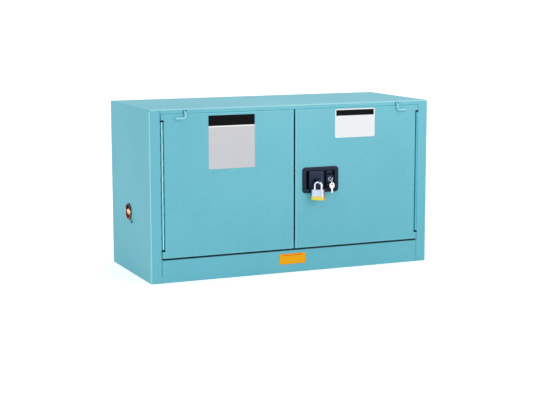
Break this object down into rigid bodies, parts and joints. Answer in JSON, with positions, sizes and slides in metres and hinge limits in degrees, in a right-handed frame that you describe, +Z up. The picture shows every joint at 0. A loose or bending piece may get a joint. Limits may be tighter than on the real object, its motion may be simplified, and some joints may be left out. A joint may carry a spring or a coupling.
{
  "type": "flammable safety cabinet",
  "caption": "Low wide double-wall steel safety cabinet with twin hinged doors, recessed paddle latch, padlock, keyed lock, shelf, sump trays and plugged side vents.",
  "frame": {"origin": "middle of the footprint on the floor, half way across the width and the depth of the case", "axes": "+X to the right seen from the front, +Y from the doors to the back, +Z up; the doors face -Y"},
  "size_m": [1.104, 0.5093, 0.61],
  "materials": {
    "shell_paint": "satin blue-green powder coat, fine orange peel",
    "liner_paint": "satin blue-green powder coat, a little duller inside",
    "bare_steel": "zinc plated",
    "spring_steel": "drawn wire",
    "dark_metal": "dark cast metal",
    "screen_brass": "fine woven wire",
    "plug_brass": "cast, slightly worn",
    "seal_rubber": "matt",
    "handle_black": "fine texture, blue-black",
    "guide_plastic": "plain natural",
    "lock_chrome": "polished",
    "key_nickel": "nickel plated",
    "padlock_steel": "laminated plates, ground edges",
    "bumper_yellow": "semi-gloss",
    "tray_plastic": "moulded, fine grain",
    "label_grey": "blank, pale grey",
    "label_white": "blank, white",
    "sill_plate_orange": "blank, orange"
  },
  "bodies": {
    "cabinet": {"left_side_panel": "shell_paint", "right_side_panel": "shell_paint", "top_panel": "shell_paint", "back_panel": "shell_paint", "bottom_panel": "shell_paint", "front_sill_rail": "shell_paint", "head_jamb": "shell_paint", "side_jambs": "shell_paint", "liner_sides": "liner_paint", "liner_back": "liner_paint", "liner_top": "liner_paint", "sump_pan": "liner_paint", "liner_spacers": "bare_steel", "shelf_clips": "bare_steel", "vent_bungs": "dark_metal", "flame_screens": "screen_brass", "ground_screw": "bare_steel", "hinge_frame_leaves": "shell_paint", "hinge_pins": "bare_steel", "sill_label": "sill_plate_orange", "latch_strikes": "bare_steel"},
    "left_door": {"left_door_skin": "shell_paint", "left_door_liner": "liner_paint", "left_door_stiffener": "bare_steel", "left_hinge_leaf": "shell_paint", "left_stay_arm": "shell_paint", "left_label": "label_grey"},
    "right_door": {"right_door_skin": "shell_paint", "right_door_liner": "liner_paint", "right_door_stiffener": "bare_steel", "right_hinge_leaf": "shell_paint", "right_stay_arm": "shell_paint", "right_label": "label_white", "handle_housing": "handle_black", "handle_clamp_frame": "bare_steel", "paddle_pin": "bare_steel", "rod_guides": "guide_plastic", "lock_barrel": "lock_chrome", "top_rod_spring": "spring_steel", "bottom_rod_spring": "spring_steel"},
    "paddle": {"paddle": "handle_black"},
    "drive_link": {"drive_link": "bare_steel"},
    "latch_rocker": {"latch_rocker": "bare_steel"},
    "top_latch_rod": {"top_latch_rod": "bare_steel"},
    "bottom_latch_rod": {"bottom_latch_rod": "bare_steel"},
    "centre_bolt": {"centre_bolt": "bare_steel"},
    "lock_plug": {"lock_plug": "lock_chrome"},
    "key": {"key": "key_nickel"},
    "key_ring": {"key_ring": "key_nickel"},
    "spare_key": {"spare_key": "key_nickel"},
    "padlock_shackle": {"padlock_shackle": "lock_chrome"},
    "shelf": {"shelf": "liner_paint"},
    "shelf_tray": {"shelf_tray": "tray_plastic"},
    "floor_tray": {"floor_tray": "tray_plastic"},
    "left_plug_seal": {"left_plug_seal": "seal_rubber"},
    "left_vent_plug": {"left_vent_plug": "plug_brass"},
    "right_plug_seal": {"right_plug_seal": "seal_rubber"},
    "right_vent_plug": {"right_vent_plug": "plug_brass"},
    "padlock_body": {"padlock_case": "padlock_steel", "padlock_bumper": "bumper_yellow"}
  },
  "joints": [
    {"name": "left_door_hinge", "type": "hinge", "parent": "cabinet", "child": "left_door", "pos_m": [-0.501, -0.227, 0.3], "axis": [0, 0, -1], "range_deg": [0, 100]},
    {"name": "right_door_hinge", "type": "hinge", "parent": "cabinet", "child": "right_door", "pos_m": [0.501, -0.227, 0.3], "axis": [0, 0, 1], "range_deg": [0, 100]},
    {"name": "paddle_pull", "type": "hinge", "parent": "right_door", "child": "paddle", "pos_m": [0.1165, -0.226, 0.3345], "axis": [0, 0, 1], "range_deg": [0, 38], "stiffness_Nm_per_rad": 0.4, "springref_deg": -14.32},
    {"name": "link_travel", "type": "slide", "parent": "right_door", "child": "drive_link", "axis": [-1, 0, 0], "range_m": [0, 0.014]},
    {"name": "rocker_turn", "type": "hinge", "parent": "right_door", "child": "latch_rocker", "pos_m": [0.075, -0.205, 0.3345], "axis": [0, 1, 0], "range_deg": [0, 32.4]},
    {"name": "top_rod_travel", "type": "slide", "parent": "right_door", "child": "top_latch_rod", "axis": [0, 0, -1], "range_m": [0, 0.0081], "deforming": ["top_rod_spring"]},
    {"name": "bottom_rod_travel", "type": "slide", "parent": "right_door", "child": "bottom_latch_rod", "axis": [0, 0, 1], "range_m": [0, 0.0081], "deforming": ["bottom_rod_spring"]},
    {"name": "centre_bolt_travel", "type": "slide", "parent": "right_door", "child": "centre_bolt", "axis": [1, 0, 0], "range_m": [0, 0.014]},
    {"name": "lock_turn", "type": "hinge", "parent": "right_door", "child": "lock_plug", "pos_m": [0.1415, -0.23, 0.3345], "axis": [0, -1, 0], "range_deg": [0, 90]},
    {"name": "key_pull", "type": "slide", "parent": "lock_plug", "child": "key", "axis": [0, -1, 0], "range_m": [0, 0.022]},
    {"name": "ring_swing", "type": "hinge", "parent": "key", "child": "key_ring", "pos_m": [0.1415, -0.2495, 0.333], "axis": [-0.7071, -0.7071, 0], "range_deg": [-8, 50]},
    {"name": "spare_key_swing", "type": "hinge", "parent": "key_ring", "child": "spare_key", "pos_m": [0.1415, -0.2495, 0.3186], "axis": [-0.7071, -0.7071, 0], "range_deg": [-10, 30]},
    {"name": "padlock_swing", "type": "hinge", "parent": "paddle", "child": "padlock_shackle", "pos_m": [0.082, -0.2575, 0.329], "axis": [-0.7547, 0.6561, 0], "range_deg": [0, 30]},
    {"name": "padlock_release", "type": "slide", "parent": "padlock_shackle", "child": "padlock_body", "axis": [0, 0, -1], "range_m": [0, 0.009]},
    {"name": "shelf_lift", "type": "slide", "parent": "cabinet", "child": "shelf", "axis": [0, 0, 1], "range_m": [0, 0.04]},
    {"name": "shelf_tray_lift", "type": "slide", "parent": "shelf", "child": "shelf_tray", "axis": [0, 0, 1], "range_m": [0, 0.04]},
    {"name": "floor_tray_lift", "type": "slide", "parent": "cabinet", "child": "floor_tray", "axis": [0, 0, 1], "range_m": [0, 0.04]},
    {"name": "left_plug_turn", "type": "hinge", "parent": "cabinet", "child": "left_plug_seal", "pos_m": [-0.525, 0.02, 0.222], "axis": [-1, 0, 0], "range_deg": [0, 1800]},
    {"name": "left_plug_travel", "type": "slide", "parent": "left_plug_seal", "child": "left_vent_plug", "axis": [-1, 0, 0], "range_m": [0, 0.0111]},
    {"name": "right_plug_turn", "type": "hinge", "parent": "cabinet", "child": "right_plug_seal", "pos_m": [0.525, 0.02, 0.47], "axis": [1, 0, 0], "range_deg": [0, 1800]},
    {"name": "right_plug_travel", "type": "slide", "parent": "right_plug_seal", "child": "right_vent_plug", "axis": [1, 0, 0], "range_m": [0, 0.0111]}
  ],
  "couplings": [
    {"joint": "link_travel", "follows": "paddle_pull", "m_per_rad": 0.020958},
    {"joint": "rocker_turn", "follows": "paddle_pull", "ratio": 0.85},
    {"joint": "top_rod_travel", "follows": "paddle_pull", "m_per_rad": 0.012062},
    {"joint": "bottom_rod_travel", "follows": "paddle_pull", "m_per_rad": 0.012062},
    {"joint": "centre_bolt_travel", "follows": "paddle_pull", "m_per_rad": 0.020958},
    {"joint": "left_plug_travel", "follows": "left_plug_turn", "m_per_rad": 0.00035014},
    {"joint": "right_plug_travel", "follows": "right_plug_turn", "m_per_rad": 0.00035014}
  ]
}
